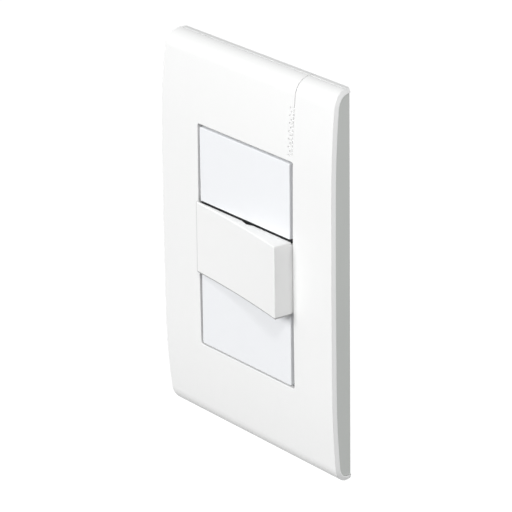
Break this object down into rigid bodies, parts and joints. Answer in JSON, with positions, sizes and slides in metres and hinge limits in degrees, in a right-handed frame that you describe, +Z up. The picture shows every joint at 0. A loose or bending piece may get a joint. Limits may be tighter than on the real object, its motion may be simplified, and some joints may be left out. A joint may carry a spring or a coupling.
{
  "type": "slide dimmer switch",
  "caption": "White wall-mounted slide dimmer with a tall arched cover plate, a wedge-shaped sliding knob and its electrical module behind the plate.",
  "frame": {"origin": "middle of the plate, on the wall plane, midway between the two box screws", "axes": "+Z up along the plate and the knob's travel, +Y into the wall, +X to the right as seen from the front"},
  "size_m": [0.081, 0.0363, 0.1156],
  "materials": {
    "white_plastic": "satin moulded thermoplastic, pure warm white",
    "panel_plastic": "smooth moulded thermoplastic, cool white",
    "grey_plastic": "fine-grained moulded thermoplastic, mid grey",
    "housing_plastic": "fine-grained glass-filled nylon, dark grey",
    "block_plastic": "moulded thermoset, pale grey",
    "board_laminate": "glass-epoxy laminate with green solder mask",
    "track_laminate": "phenolic strip with black carbon tracks",
    "black_epoxy": "moulded epoxy",
    "cap_plastic": "yellow flame-retardant capacitor box",
    "film_red": "red dipped film capacitor",
    "resistor_lacquer": "tan lacquer",
    "trimmer_blue": "blue moulded thermoplastic",
    "slider_plastic": "natural acetal",
    "ferrite": "powdered-iron core with epoxy coat",
    "zinc_steel": "zinc plated",
    "spring_steel": "blued spring steel strip",
    "aluminium_plate": "mill finish",
    "brass_clamp": "machined brass",
    "copper_wire": null,
    "fuse_glass": "clear glass tube with plated end caps"
  },
  "bodies": {
    "root": {"cover_plate": "white_plastic", "side_frame": "grey_plastic", "support_frame": "grey_plastic", "box_screws": "zinc_steel", "face_panel": "panel_plastic", "front_housing": "housing_plastic", "rear_housing": "housing_plastic", "housing_screws": "zinc_steel", "circuit_board": "board_laminate", "pot_body": "zinc_steel", "pot_track": "track_laminate", "terminal_block": "block_plastic", "terminal_clamps": "brass_clamp", "terminal_screws": "zinc_steel", "heat_sink": "aluminium_plate", "triac": "black_epoxy", "triac_screw": "zinc_steel", "choke_core": "ferrite", "choke_winding": "copper_wire", "filter_capacitor": "cap_plastic", "timing_capacitor": "film_red", "resistors": "resistor_lacquer", "diac": "resistor_lacquer", "fuse": "fuse_glass", "fuse_clips": "brass_clamp", "trimmer_body": "trimmer_blue"},
    "slider": {"slide_knob": "white_plastic", "carriage": "slider_plastic", "friction_springs": "spring_steel", "pot_slider": "slider_plastic", "pot_lever": "zinc_steel", "wiper_brushes": "spring_steel"},
    "trimmer": {"trimmer_dial": "block_plastic"}
  },
  "joints": [
    {"name": "knob_slide", "type": "slide", "parent": "root", "child": "slider", "axis": [0, 0, 1], "range_m": [-0.022, 0.023]},
    {"name": "trimmer_turn", "type": "hinge", "parent": "root", "child": "trimmer", "pos_m": [0.0029, 0.0217, 0.0276], "axis": [0, 1, 0], "range_deg": [-135, 135]}
  ]
}
